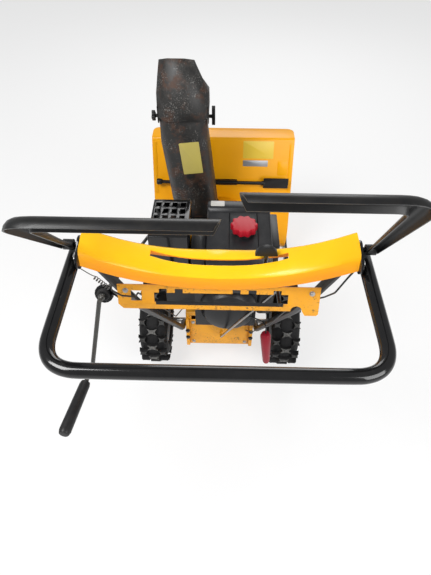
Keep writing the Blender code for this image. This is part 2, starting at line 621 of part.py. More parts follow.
def engine():
    """Block with cooling fins, shroud, recoil cover, muffler behind its guard, and the belt drive."""
    casting = block("engine_block", (-0.085, -0.128, DECK + GAP), (0.125, 0.122, 0.500), CAST)
    cylinder = block("cylinder", (-0.185, -0.095, 0.366), (-0.050, 0.088, 0.484), CAST)
    boolean(casting, cylinder, "UNION")
    for i in range(8):
        y = -0.088 + 0.022 * i
        boolean(casting, block("fin_slot", (-0.20, y, 0.35), (-0.105, y + 0.015, 0.52), CAST),
                "DIFFERENCE")
    face = -0.128 - GAP
    turned("recoil_cover", [(0, 0.052), (0.046, 0.050), (0.080, 0.040), (0.094, 0.020), (0.098, 0.0),
                            (0, 0.0)], (CRANK_X, face, CRANK_Z), (0, -1, 0), BLACK_PLASTIC, steps=32)
    shroud = [(-0.172, 0.5004), (-0.182, 0.640), (-0.160, SHROUD_TOP - 0.014),
              (0.012, SHROUD_TOP - 0.002), (0.020, SHROUD_TOP + 0.010), (0.056, SHROUD_TOP + 0.010),
              (0.078, SHROUD_TOP - 0.020), (0.084, 0.560), (0.070, 0.5004)]
    cover = as_mesh(plate("engine_shroud", [shroud], 0.200, (0.056, 0, 0), (0, 1, 0), (0, 0, 1),
                          BLACK_PLASTIC))
    round_edges(cover, 0.010, 2, 30)
    cover = as_mesh(cover)
    for x in PANEL_LINES:
        boolean(cover, block("panel_line", (x - 0.0012, -0.30, SHROUD_TOP - 0.019),
                             (x + 0.0012, 0.006, 0.80), BLACK_PLASTIC), "DIFFERENCE")
    boolean(cover, rod("filler_neck", (*CAP_CENTRE, 0.640), (*CAP_CENTRE, SHROUD_TOP + 0.0016), 0.030,
                       BLACK_PLASTIC, sides=24), "UNION")
    side_cover = as_mesh(block("carburettor_cover", (0.1254, -0.110, 0.330), (0.186, 0.060, 0.498),
                               BLACK_PLASTIC, rounded=0.014))
    boolean(side_cover, as_mesh(block("side_cover_top", (0.1576, -0.105, 0.430), (0.182, 0.055, 0.648),
                                      BLACK_PLASTIC)), "UNION")

    lobes = []
    for i in range(60):
        angle = 2 * math.pi * i / 60
        radius = 0.0385 + 0.0030 * math.cos(10 * angle)
        lobes.append((radius * math.cos(angle), radius * math.sin(angle)))
    plate("fuel_cap", [lobes], 0.022, (*CAP_CENTRE, SHROUD_TOP + 0.013), (1, 0, 0), (0, 1, 0), RED,
          cap_body)

    guard_low, guard_high = (-0.2225, -0.112, 0.4836), (-0.100, 0.080, 0.684)
    guard = block("muffler_guard", guard_low, guard_high, BLACK_PAINT, rounded=0.004)
    t = 0.002
    boolean(guard, block("guard_hollow", [c + t for c in guard_low[:2]] + [guard_low[2] - 0.02],
                         [c - t for c in guard_high], BLACK_PAINT), "DIFFERENCE")
    for row in range(3):
        for column in range(4):
            x = -0.205 + 0.027 * column
            y = 0.050 - 0.034 * row
            boolean(guard, block("guard_hole", (x - 0.0085, y - 0.011, 0.66),
                                 (x + 0.0085, y + 0.011, 0.70), BLACK_PAINT), "DIFFERENCE")
    can = turned("muffler", [(0, -0.070), (0.044, -0.070), (0.050, -0.062), (0.050, 0.062),
                             (0.044, 0.070), (0, 0.070)], (-0.162, -0.010, 0.600), (0, 1, 0), RUSTY,
                 steps=24)
    boolean(can, rod("exhaust_stub", (-0.150, -0.0055, 0.4845), (-0.150, -0.0055, 0.580), 0.015, RUSTY),
            "UNION")

    big, small = (0, IMPELLER_HEIGHT), (CRANK_X, CRANK_Z)
    middle = 0.325

    def pulley(radius):
        return [(radius, -0.009), (radius, -0.0055), (radius - 0.011, -0.0055), (radius - 0.011, 0.0055),
                (radius, 0.0055), (radius, 0.009)]

    turned("impeller_pulley", [(0.0100, -0.009)] + pulley(0.085) + [(0.0100, 0.009)],
           (0, middle, big[1]), (0, 1, 0), CAST, impeller_body, steps=18, ring=True)
    turned("engine_pulley", [(0, -0.2025), (0.012, -0.2025),
                             (0.012, -0.009)] + pulley(0.036) + [(0, 0.009)],
           (small[0], middle, small[1]), (0, 1, 0), CAST, engine_shaft, steps=18)
    plate("auger_belt", [belt_hull(big, 0.084, small, 0.035, 16),
                         belt_hull(big, 0.0766, small, 0.0276, 16)], 0.0102, (0, middle, 0), (1, 0, 0),
          (0, 0, 1), RUBBER)
    cover_middle = FRAME_FRONT + GAP + COVER_DEPTH / 2
    cover = as_mesh(plate("belt_cover", [belt_hull(big, 0.108, small, 0.058)], COVER_DEPTH,
                          (0, cover_middle, 0), (1, 0, 0), (0, 0, 1), BLACK_PLASTIC))
    boolean(cover, as_mesh(plate("cover_hollow", [belt_hull(big, 0.105, small, 0.055)], COVER_DEPTH,
                                 (0, cover_middle - 0.003, 0), (1, 0, 0), (0, 0, 1), BLACK_PLASTIC)),
            "DIFFERENCE")
    boolean(cover, rod("cover_bore", (0, 0.2, IMPELLER_HEIGHT), (0, 0.4, IMPELLER_HEIGHT), 0.012,
                       BLACK_PLASTIC),
            "DIFFERENCE")


def handlebar():
    """Lower tubes, pivot plates, the loop and the two half-pipe clutch levers."""
    for side, sign in SIDES.items():
        outside = FRAME_HALF + TUBE_RADIUS - GAP
        path = [(0.2362, -0.5885, 1.040), (0.2035, -0.540, 0.906), (0.198, -0.405, 0.697),
                (outside, -0.105, 0.245), (outside, -0.040, 0.205)]
        wire("lower_handle_" + side, filleted(mirrored(path, side), 0.08, 5), TUBE_RADIUS, BLACK_PAINT)
        outline = arc((-0.604, 1.046), 0.020, 150, 270, 4) + arc((-0.548, 1.030), 0.020, 270, 360, 3)
        outline += arc(PIVOT, 0.017, 20, 150, 5)
        bracket = as_mesh(plate("pivot_plate_" + side, [outline], 0.005, (sign * 0.2496, 0, 0),
                                (0, 1, 0), (0, 0, 1), BLACK_PAINT))
        boolean(bracket, rod("lever_pin_" + side, (sign * 0.248, *PIVOT), (sign * 0.287, *PIVOT), 0.0045,
                             BLACK_PAINT, sides=16), "UNION")
    loop = [(LOOP_HALF - 0.008, *LEG_TOP), (LOOP_HALF, LOOP_REAR, LOOP_HEIGHT)]
    path = mirrored(loop, "left") + mirrored(loop, "right")[::-1]
    wire("handle_loop", filleted(path, 0.062, 8), LOOP_RADIUS, BLACK_PAINT, fineness=3)

    section = arc((0, 0), LEVER_RADIUS, 0, 180, 8) + arc((0, 0), LEVER_RADIUS - 0.0025, 180, 0, 6)
    for side, sign in SIDES.items():
        raise_by = math.radians(LEVER_RAISED[side])
        back = Vector((0, -math.cos(raise_by), math.sin(raise_by)))
        up = Vector((0, math.sin(raise_by), math.cos(raise_by)))
        pivot = Vector((sign * 0.2705, *PIVOT))
        elbow = Vector((sign * (LOOP_HALF + 0.002), *PIVOT)) + back * LEVER_REACH
        end = Vector((LEVER_END[side], *PIVOT)) + back * LEVER_REACH
        path = filleted([pivot + back * 0.006, elbow, end], 0.040, 7)
        rings = []
        for i, point in enumerate(path):
            run = (path[min(i + 1, len(path) - 1)] - path[max(i - 1, 0)]).normalized()
            aside = run.cross(up)
            wide = min(1, 0.56 + 0.44 * (point - path[0]).length / 0.09)
            slant = 0.55 if i == len(path) - 1 else 0
            centre = point - up * 0.009
            rings.append([centre + (aside * a + up * b) * wide + run * slant * (b - LEVER_RADIUS)
                          for a, b in section])
        lever = loft("lever_" + side, rings, BLACK_PAINT, levers[side])
        eye = rod("lever_eye_" + side, (sign * 0.2608, *PIVOT), (sign * 0.2792, *PIVOT), 0.0098,
                  BLACK_PAINT)
        boolean(lever, eye, "UNION")
        bore = rod("lever_bore_" + side, (sign * 0.24, *PIVOT), (sign * 0.31, *PIVOT), 0.0051,
                   BLACK_PAINT, sides=16)
        boolean(lever, bore, "DIFFERENCE")


def dash_and_gate():
    """Moulded dash, steel shift panel with its gate, and the shift lever."""
    rings = []
    stations = 18
    for i in range(stations + 1):
        share = 2 * i / stations - 1
        rise = abs(share) ** 2.6
        x = 0.2467 * share
        y = -0.528 - 0.052 * rise
        z = 0.962 + 0.100 * rise
        deep = 0.030 + 0.008 * (1 - abs(share))
        path = [(deep, -0.012), (deep, 0.010), (deep * 0.8, 0.014), (0.0, 0.012), (-deep * 0.8, 0.006),
                (-deep, 0.0), (-deep - 0.004, -0.026)]
        rings.append([(x, y + a, z + b) for a, b in thin_outline(path, 0.003)])
    dash = loft("dash_panel", rings, PLASTIC_YELLOW)
    slot_low = (-DASH_SLOT[0], DASH_SLOT[1] - DASH_SLOT[2], 0.92)
    slot_high = (DASH_SLOT[0], DASH_SLOT[1] + DASH_SLOT[2], 1.02)
    boolean(dash, block("dash_slot", slot_low, slot_high, PLASTIC_YELLOW), "DIFFERENCE")

    half, tall = PANEL_HALF
    edge = [(-half, -tall + 0.010), (-half + 0.010, -tall)]
    edge += arc((0.158, -tall), 0.012, 180, 0, 6)
    edge += [(0.176, -tall - 0.010), (half - 0.004, -tall - 0.010), (half, -tall - 0.006), (half, tall),
             (-half, tall)]
    notches = (-0.112, -0.080, 0.036, 0.068, 0.118)
    slot = [(-0.130, -0.012), (0.140, -0.012), (0.140, 0.010)]
    for middle in reversed(notches):
        slot += [(middle + 0.008, 0.010), (middle + 0.008, 0.019), (middle - 0.008, 0.019),
                 (middle - 0.008, 0.010)]
    slot += [(-0.130, 0.010)]
    window = [(-0.177, -0.010), (-0.155, -0.010), (-0.155, 0.014), (-0.177, 0.014)]
    up = (0, math.sin(PANEL_TILT), math.cos(PANEL_TILT))
    panel = as_mesh(plate("shift_panel", [edge, slot, window], 0.003, (0, *PANEL_CENTRE), (1, 0, 0), up,
                          YELLOW))
    run = (Vector(EYELET) - Vector(CRANK_FRONT)).normalized()
    middle = Vector(EYELET) - run * 0.022
    across = (Vector((1, 0, 0)) - run * run.x).normalized()
    ring = plate("grommet_ring", [circle((0, 0), 0.0205, 16), circle((0, 0), 0.0114, 16)], 0.0034, middle,
                 across, run.cross(across), YELLOW)
    boolean(panel, as_mesh(ring), "UNION")
    reach = Vector((-half + 0.006, *PANEL_CENTRE)) - Vector(up) * 0.006
    toward = reach - middle
    outward = (toward - run * toward.dot(run)).normalized()
    start = middle + outward * 0.0185
    boolean(panel, rod("grommet_arm", start, reach + (reach - start).normalized() * 0.0015, 0.003, YELLOW,
                       sides=8), "UNION")

    x, y, z = SHIFT_PIVOT
    path = [(x, y, z), (x, y - 0.030, z + 0.030), (SHIFT_GATE - 0.006, -0.500, 0.850),
            (SHIFT_GATE, -0.535, 0.905), (SHIFT_GATE - 0.030, -0.528, 0.958),
            (SHIFT_GATE - 0.030, -0.528, 1.0060)]
    lever = as_mesh(wire("shift_lever", filleted(path, 0.02, 4), 0.0045, BLACK_PAINT, shift_body))
    tooth = rod("shift_tooth", (SHIFT_GATE, -0.533, 0.904), (SHIFT_GATE, -0.584, 0.912), 0.004,
                BLACK_PAINT, sides=12)
    boolean(lever, tooth, "UNION")
    slider = arc((0, 0), 0.022, 8, 172, 8) + [(-0.022, 0.0), (0.022, 0.0)]
    knob = as_mesh(plate("shift_knob", [slider], 0.010, (SHIFT_GATE - 0.030, -0.528, 0.994), (1, 0, 0),
                         (0, 0, 1), BLACK_PLASTIC, shift_body))
    boolean(knob, rod("knob_socket", (SHIFT_GATE - 0.030, -0.528, 0.95),
                      (SHIFT_GATE - 0.030, -0.528, 1.0065), 0.0050, BLACK_PLASTIC, sides=16),
            "DIFFERENCE")


def chute_crank():
    """Long rod to the swivel ring, its eyelet, and the cranked handle that hangs from it."""
    eyelet, front = Vector(EYELET), Vector(CRANK_FRONT)
    run = (eyelet - front).normalized()
    worm = [(0, -0.028), (0.006, -0.028)]
    for i in range(4):
        low = -0.026 + 0.0125 * i
        worm += [(0.0125, low), (WORM_RADIUS, low + 0.004), (WORM_RADIUS, low + 0.006),
                 (0.0125, low + 0.010)]
    far = (eyelet - front).length - KNUCKLE - GAP
    worm += [(CRANK_ROD, 0.030), (CRANK_ROD, far), (0, far)]
    turned("crank_rod", worm, front, run, STEEL, crank_spin, steps=10)
    turned("crank_eyelet", [(CRANK_ROD + 0.0005, -0.011), (0.012, -0.011), (0.015, -0.006),
                            (0.011, -0.002), (0.011, 0.002), (0.015, 0.006), (0.012, 0.011),
                            (CRANK_ROD + 0.0005, 0.011)], eyelet - run * 0.022, run, RUBBER, steps=14,
           ring=True)
    path = [eyelet, eyelet + run * 0.018, Vector((-0.279, -0.616, 0.728)),
            Vector((-0.284, -0.660, 0.733))]
    handle = as_mesh(wire("crank_handle", filleted(path, 0.018, 5), CRANK_ROD, STEEL, crank_hang))
    ball = [(KNUCKLE * math.cos(t),
             KNUCKLE * math.sin(t)) for t in (i * math.pi / 8 - math.pi / 2 for i in range(9))]
    ball[0] = (0, -KNUCKLE)
    ball[-1] = (0, KNUCKLE)
    boolean(handle, as_mesh(turned("knuckle", ball, eyelet, run, STEEL, steps=10)), "UNION")
    heading = Vector((-0.13, -0.98, 0.05)).normalized()
    turned("crank_grip", [(0, 0.0), (0.010, 0.0), (0.0115, 0.008), (0.0125, 0.118), (0.010, 0.126),
                          (0, 0.126)], path[-1] + heading * 0.0005, heading, BLACK_PLASTIC, crank_hang,
           steps=20)
    upright = [(-0.243, 0.350), (-0.150, 0.350), (-0.150, 0.3535), (-0.205, 0.3535), (-0.205, 0.418),
               (-0.243, 0.418)]
    bracket = as_mesh(plate("crank_bracket", [upright], 0.014, (0, 0.383, 0), (1, 0, 0), (0, 0, 1),
                            BLACK_PAINT))
    bearing = front.lerp(eyelet, (front.y - 0.383) / (front.y - eyelet.y))
    boolean(bracket, rod("bracket_bore", bearing - run * 0.05, bearing + run * 0.05, CRANK_ROD + GAP,
                         BLACK_PAINT), "DIFFERENCE")
    x, y = CHUTE_CENTRE
    boolean(bracket, rod("spout_room", (x, y, 0.30), (x, y, 0.40), 0.080 + GAP, BLACK_PAINT, sides=24),
            "DIFFERENCE")


def cables_and_starter():
    """Clutch cables with their spring, and the pull start."""
    curls, per_curl, coil_radius, steel = 7, 6, 0.0042, 0.0011
    top, low = Vector((-0.2250, -0.6170, 1.0120)), Vector((-0.2030, -0.6100, 0.9750))
    run = (low - top).normalized()
    side = run.cross(Vector((0, 1, 0))).normalized()
    other = run.cross(side)
    hook = Vector((-0.2466 + steel, -0.6165, 1.0320))
    coil = [hook, top - run * 0.004]
    for i in range(curls * per_curl + 1):
        angle = 2 * math.pi * i / per_curl
        around = side * math.cos(angle) + other * math.sin(angle)
        coil.append(top.lerp(low, i / (curls * per_curl)) + around * coil_radius)
    coil += [low + run * 0.004, low + run * 0.008]
    wire("cable_spring", coil, steel, STEEL, fineness=1)
    pitch = (low - top).length / curls
    print("cable spring: least gap between turns", round(pitch - 2 * steel, 5), "m")
    wire("clutch_cable_left", filleted([low + run * 0.0084, (-0.186, -0.602, 0.948),
                                        (-0.166, -0.578, 0.920), (-0.166, -0.553, 0.905),
                                        (-0.160, -0.40, 0.70), (-0.150, -0.15, 0.36),
                                        (-0.1276, 0.0, 0.258)], 0.03, 3), 0.0018, BLACK_PLASTIC,
         fineness=1)
    wire("clutch_cable_right", filleted([(0.2450, -0.6010, 1.026), (0.236, -0.6030, 1.010),
                                         (0.222, -0.595, 0.960), (0.2145, -0.560, 0.910),
                                         (0.172, -0.48, 0.80), (0.146, -0.335, 0.548),
                                         (0.112, -0.225, 0.380), (0.1000, -0.0768, 0.200)], 0.03, 3),
         0.0018, BLACK_PLASTIC, fineness=1)
    wire("starter_rope", filleted([(0.090, -0.1760, 0.405), (0.140, -0.225, 0.432),
                                   (0.150, -0.249, 0.434), (0.150, -0.250, 0.4034)], 0.010, 4), 0.0022,
         BLACK_PLASTIC)
    turned("starter_grip", [(0, 0.0), (0.013, 0.002), (0.0175, 0.014), (0.0165, 0.050), (0.012, 0.150),
                            (0.009, 0.158), (0, 0.160)], (0.150, -0.250, 0.403), (0.09, 0, -1), RED,
           grip_body, steps=16)


def clean_out_tool():
    """Shovel for a blocked chute, held in a clip on the back of the housing."""
    z = 0.412
    y = wall_y(z) - 0.022
    shaft = turned("clean_out_tool", [(0, -0.290), (0.012, -0.290), (0.014, -0.282), (0.012, -0.268),
                                      (0.0075, -0.264),
                                      (0.0075, 0.170), (0.010, 0.176), (0.010, 0.186), (0, 0.186)],
                   (0, y, z), (1, 0, 0), BLACK_PLASTIC, tool_body, steps=16)
    blade = block("tool_blade", (0.180, y - 0.003, z - 0.024), (0.289, y + 0.003, z + 0.024),
                  BLACK_PLASTIC)
    boolean(shaft, blade, "UNION")
    clip = arc((0, 0), 0.0115, -98, 98, 10) + arc((0, 0), 0.0080, 98, -98, 10)
    block_low, block_high = (-0.052, y + 0.0110, z - 0.008), (0.064, wall_y(z - 0.008) + 0.0013,
                                                              z + 0.0045)
    holder = as_mesh(plate("tool_clip", [clip], 0.116, (0.006, y, z), (0, 1, 0), (0, 0, 1),
                           BLACK_PLASTIC))
    boolean(holder, block("clip_foot", block_low, block_high, BLACK_PLASTIC), "UNION")


auger_housing()
impeller_drum()
auger_ribbons()
chute()
drive_frame()
wheel_set()
engine()
handlebar()
dash_and_gate()
chute_crank()
cables_and_starter()
clean_out_tool()
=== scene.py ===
"""Looks of a walk-behind snowblower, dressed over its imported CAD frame."""

import json
import math

import bpy
from mathutils import Matrix, Vector


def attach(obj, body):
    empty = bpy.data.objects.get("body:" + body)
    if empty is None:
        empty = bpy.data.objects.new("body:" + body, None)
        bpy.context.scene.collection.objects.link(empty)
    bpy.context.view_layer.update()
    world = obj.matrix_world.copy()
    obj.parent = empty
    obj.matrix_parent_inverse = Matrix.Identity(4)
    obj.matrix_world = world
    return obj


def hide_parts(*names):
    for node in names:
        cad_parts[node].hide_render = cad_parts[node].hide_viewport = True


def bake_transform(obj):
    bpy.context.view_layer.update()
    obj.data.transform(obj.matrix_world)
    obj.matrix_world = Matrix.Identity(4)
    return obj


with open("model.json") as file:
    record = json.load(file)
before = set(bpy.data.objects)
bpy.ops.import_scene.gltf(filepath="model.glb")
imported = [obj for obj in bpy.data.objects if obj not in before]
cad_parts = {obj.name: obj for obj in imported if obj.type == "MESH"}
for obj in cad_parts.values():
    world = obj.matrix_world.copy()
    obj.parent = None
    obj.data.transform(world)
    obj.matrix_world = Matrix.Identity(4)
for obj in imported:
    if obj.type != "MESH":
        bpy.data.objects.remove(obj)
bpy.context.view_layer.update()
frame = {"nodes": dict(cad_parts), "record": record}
bpy.ops.object.select_all(action="DESELECT")

# Studio: the camera stands behind the operator and looks down at the machine.
# A pale floor and three soft lamps light it as a product picture does.
camera_place = Vector((0.006371, -1.233660, 1.630445))
yaw, pitch, roll = 0.0190285, 0.8033396, 0.0057042
ahead = Vector((-math.sin(yaw) * math.cos(pitch), math.cos(yaw) * math.cos(pitch), -math.sin(pitch)))
level = Vector((math.cos(yaw), math.sin(yaw), 0))
over = level.cross(ahead)
right = math.cos(roll) * level + math.sin(roll) * over
upward = -math.sin(roll) * level + math.cos(roll) * over
camera = bpy.data.objects.new("camera", bpy.data.cameras.new("camera"))
bpy.context.scene.collection.objects.link(camera)
camera.data.sensor_fit = "VERTICAL"
camera.data.sensor_height = 36
camera.data.lens = 30.334
camera.data.clip_start = 0.05
camera.matrix_world = Matrix((
    (right.x, upward.x, -ahead.x, camera_place.x),
    (right.y, upward.y, -ahead.y, camera_place.y),
    (right.z, upward.z, -ahead.z, camera_place.z),
    (0, 0, 0, 1)))
bpy.context.scene.camera = camera
bpy.context.scene.view_settings.view_transform = "Standard"

for name, place, size, power in (("key", (-1.7, -1.5, 3.2), 1.5, 104), ("fill", (1.9, -2.3, 1.9), 1.8, 62),
                                 ("front", (0.3, 3.0, 2.6), 2.0, 48)):
    lamp = bpy.data.lights.new(name, "AREA")
    lamp.size = size
    lamp.energy = power
    holder = bpy.data.objects.new(name, lamp)
    holder.location = place
    holder.rotation_euler = (Vector((0, 0, 0.4)) - Vector(place)).to_track_quat("-Z", "Y").to_euler()
    bpy.context.scene.collection.objects.link(holder)

world = bpy.data.worlds.new("studio")
bpy.context.scene.world = world
world.use_nodes = True
sky = world.node_tree.nodes["Background"]
sky.inputs["Color"].default_value = (0.98, 0.99, 1.0, 1)
sight = world.node_tree.nodes.new("ShaderNodeLightPath")
strength = world.node_tree.nodes.new("ShaderNodeMath")
strength.operation = "MULTIPLY_ADD"
strength.inputs[1].default_value = 0.74
strength.inputs[2].default_value = 0.24
world.node_tree.links.new(sight.outputs["Is Camera Ray"], strength.inputs[0])
shine = world.node_tree.nodes.new("ShaderNodeMath")
shine.operation = "MULTIPLY_ADD"
shine.inputs[1].default_value = 0.16
world.node_tree.links.new(sight.outputs["Is Glossy Ray"], shine.inputs[0])
world.node_tree.links.new(strength.outputs[0], shine.inputs[2])
world.node_tree.links.new(shine.outputs[0], sky.inputs["Strength"])

bpy.ops.mesh.primitive_plane_add(size=13, location=(0, 0, -0.0008))
floor = bpy.context.object
floor.name = "floor"
floor_look = bpy.data.materials.new("pale_floor")
floor_look.use_nodes = True
nodes, links = floor_look.node_tree.nodes, floor_look.node_tree.links
nodes["Principled BSDF"].inputs["Base Color"].default_value = (0.88, 0.88, 0.88, 1)
nodes["Principled BSDF"].inputs["Roughness"].default_value = 0.8
glow = nodes.new("ShaderNodeEmission")
glow.inputs["Color"].default_value = (1, 1, 1, 1)
seen = nodes.new("ShaderNodeLightPath")
either = nodes.new("ShaderNodeMath")
either.operation = "MAXIMUM"
links.new(seen.outputs["Is Camera Ray"], either.inputs[0])
links.new(seen.outputs["Is Glossy Ray"], either.inputs[1])
part_glow = nodes.new("ShaderNodeMath")
part_glow.operation = "MULTIPLY"
part_glow.inputs[1].default_value = 0.68
links.new(either.outputs[0], part_glow.inputs[0])
mixed = nodes.new("ShaderNodeMixShader")
links.new(part_glow.outputs[0], mixed.inputs[0])
links.new(nodes["Principled BSDF"].outputs[0], mixed.inputs[1])
links.new(glow.outputs[0], mixed.inputs[2])
links.new(mixed.outputs[0], nodes["Material Output"].inputs["Surface"])
floor.data.materials.append(floor_look)


# Auger housing: bent and welded sheet steel in golden yellow enamel, with a lip along the top.
# Side plates close its ends, and bolts hold the bearings and the skid shoes.
def group(name, inputs, outputs):
    """An empty node group with named sockets; inputs are (name, default)."""
    tree = bpy.data.node_groups.new(name, "ShaderNodeTree")
    for label, value in inputs:
        socket = tree.interface.new_socket(label, in_out="INPUT", socket_type="NodeSocketFloat")
        socket.default_value = value
    for label in outputs:
        tree.interface.new_socket(label, in_out="OUTPUT", socket_type="NodeSocketFloat")
    return tree, tree.nodes.new("NodeGroupInput"), tree.nodes.new("NodeGroupOutput")


def ramp(tree, source, low, high):
    """A value spread from 0 to 1 between two limits."""
    node = tree.nodes.new("ShaderNodeMapRange")
    node.inputs["From Min"].default_value = low
    node.inputs["From Max"].default_value = high
    tree.links.new(source, node.inputs["Value"])
    return node.outputs["Result"]


def times(tree, first, second):
    """The product of two sockets, or of a socket and a number."""
    node = tree.nodes.new("ShaderNodeMath")
    node.operation = "MULTIPLY"
    for value, socket in ((first, node.inputs[0]), (second, node.inputs[1])):
        if isinstance(value, (int, float)):
            socket.default_value = value
        else:
            tree.links.new(value, socket)
    return node.outputs[0]


def noise(tree, place, scale, detail=4.0, rough=0.55):
    """Noise read at a place; scale is a number or a socket."""
    node = tree.nodes.new("ShaderNodeTexNoise")
    node.inputs["Detail"].default_value = detail
    node.inputs["Roughness"].default_value = rough
    if isinstance(scale, (int, float)):
        node.inputs["Scale"].default_value = scale
    else:
        tree.links.new(scale, node.inputs["Scale"])
    tree.links.new(place, node.inputs["Vector"])
    return node.outputs["Fac"]


def stretched(tree, place, scale):
    """A place scaled unevenly, so that noise on it turns into streaks."""
    node = tree.nodes.new("ShaderNodeMapping")
    node.inputs["Scale"].default_value = scale
    node.inputs["Rotation"].default_value = (0.5, 0.35, 0.6)
    tree.links.new(place, node.inputs["Vector"])
    return node.outputs[0]


weather, given, result = group("weather", [("Dust", 0.5), ("Scratches", 0.5), ("Patches", 0.5)],
                               ["Dust", "Scratches", "Patches", "Grain", "Shade"])
spot = weather.nodes.new("ShaderNodeTexCoord").outputs["Object"]
facing = weather.nodes.new("ShaderNodeSeparateXYZ")
weather.links.new(weather.nodes.new("ShaderNodeNewGeometry").outputs["Normal"], facing.inputs[0])
lying = ramp(weather, facing.outputs["Z"], -0.2, 0.9)
speck = ramp(weather, noise(weather, spot, 38, 8, 0.7), 0.42, 0.72)
weather.links.new(times(weather, times(weather, lying, speck), given.outputs["Dust"]), result.inputs["Dust"])
lines = ramp(weather, noise(weather, stretched(weather, spot, (420, 18, 30)), 1.0, 3, 0.6), 0.66, 0.74)
other_lines = ramp(weather, noise(weather, stretched(weather, spot, (16, 30, 380)), 1.0, 3, 0.6), 0.67, 0.75)
both = weather.nodes.new("ShaderNodeMath")
both.operation = "MAXIMUM"
weather.links.new(lines, both.inputs[0])
weather.links.new(other_lines, both.inputs[1])
broken = ramp(weather, noise(weather, spot, 11, 3), 0.48, 0.62)
weather.links.new(times(weather, times(weather, both.outputs[0], broken), given.outputs["Scratches"]),
                  result.inputs["Scratches"])
flaked = ramp(weather, noise(weather, spot, 17, 9, 0.68), 0.50, 0.62)
weather.links.new(times(weather, flaked, given.outputs["Patches"]), result.inputs["Patches"])
weather.links.new(noise(weather, spot, 900, 2, 0.5), result.inputs["Grain"])
weather.links.new(noise(weather, spot, 6, 3, 0.5), result.inputs["Shade"])


def blended(tree, amount, first, second):
    """Colour first turned into second by an amount; each is a socket or a colour."""
    node = tree.nodes.new("ShaderNodeMix")
    node.data_type = "RGBA"
    tree.links.new(amount, node.inputs[0])
    for value, socket in ((first, node.inputs[6]), (second, node.inputs[7])):
        if isinstance(value, tuple):
            socket.default_value = (*value, 1)
        else:
            tree.links.new(value, socket)
    return node.outputs[2]


def finish(name, colour, shade, rough, dust=0.4, scratches=0.3, patches=0.0, bump=0.02, metal=0.0, coat=0.0,
           gloss=0.5, dust_colour=(0.30, 0.26, 0.20), scratch_colour=(0.30, 0.29, 0.27),
           patch_colour=(0.10, 0.05, 0.03)):
    """A worn finish: two tones, dust that lies on top, scratches, flaked patches and a fine grain."""
    look = bpy.data.materials.new(name)
    look.use_nodes = True
    tree = look.node_tree
    shader = tree.nodes["Principled BSDF"]
    wear = tree.nodes.new("ShaderNodeGroup")
    wear.node_tree = weather
    wear.inputs["Dust"].default_value = dust
    wear.inputs["Scratches"].default_value = scratches
    wear.inputs["Patches"].default_value = patches
    tone = blended(tree, ramp(tree, wear.outputs["Shade"], 0.35, 0.65), colour, shade)
    tone = blended(tree, wear.outputs["Patches"], tone, patch_colour)
    tone = blended(tree, wear.outputs["Scratches"], tone, scratch_colour)
    tone = blended(tree, wear.outputs["Dust"], tone, dust_colour)
    tree.links.new(tone, shader.inputs["Base Color"])
    dull = tree.nodes.new("ShaderNodeMath")
    dull.operation = "MULTIPLY_ADD"
    dull.inputs[1].default_value = 0.35
    dull.inputs[2].default_value = rough
    rub = tree.nodes.new("ShaderNodeMath")
    rub.operation = "MAXIMUM"
    tree.links.new(wear.outputs["Dust"], rub.inputs[0])
    tree.links.new(wear.outputs["Patches"], rub.inputs[1])
    tree.links.new(rub.outputs[0], dull.inputs[0])
    tree.links.new(dull.outputs[0], shader.inputs["Roughness"])
    shader.inputs["Metallic"].default_value = metal
    shader.inputs["Coat Weight"].default_value = coat
    shader.inputs["Specular IOR Level"].default_value = gloss
    lift = tree.nodes.new("ShaderNodeBump")
    lift.inputs["Strength"].default_value = bump
    lift.inputs["Distance"].default_value = 0.002
    tree.links.new(wear.outputs["Grain"], lift.inputs["Height"])
    tree.links.new(lift.outputs[0], shader.inputs["Normal"])
    return look


def body_of(node):
    """The CAD body that carries a node."""
    return next(body for body, held in frame["record"]["behaviour"]["bodies"].items() if node in held)


slot_of = {row["node"]: row["material_slot"] for row in frame["record"]["subparts"]}


def only(piece):
    """Make one piece the active and only selected object."""
    bpy.ops.object.select_all(action="DESELECT")
    piece.select_set(True)
    bpy.context.view_layer.objects.active = piece


def softened(piece, width, segments=2, angle=32):
    """Break the sharp edges of a piece with a small bevel and shade it smooth."""
    only(piece)
    bevel = piece.modifiers.new("edges", "BEVEL")
    bevel.width = width
    bevel.segments = segments
    bevel.limit_method = "ANGLE"
    bevel.angle_limit = math.radians(angle)
    bpy.ops.object.modifier_apply(modifier="edges")
    bpy.ops.object.shade_smooth_by_angle(angle=math.radians(angle))
    return piece


def merged_copy(node):
    """A copy of a CAD node with its loose triangles merged, active and selected."""
    piece = bpy.data.objects.new(node + "_skin", frame["nodes"][node].data.copy())
    bpy.context.scene.collection.objects.link(piece)
    only(piece)
    bpy.ops.object.mode_set(mode="EDIT")
    bpy.ops.mesh.select_all(action="SELECT")
    bpy.ops.mesh.remove_doubles(threshold=0.000002)
    bpy.ops.object.mode_set(mode="OBJECT")
    return piece


def skin(node, look, width=0.0008, segments=2, angle=32):
    """A finer copy of a CAD node: merged, its edges broken, and shown in the node's place."""
    piece = merged_copy(node)
    bpy.ops.object.mode_set(mode="EDIT")
    bpy.ops.mesh.dissolve_limited(angle_limit=math.radians(0.6))
    bpy.ops.object.mode_set(mode="OBJECT")
    softened(piece, width, segments, angle)
    return dressed(piece, look, node)


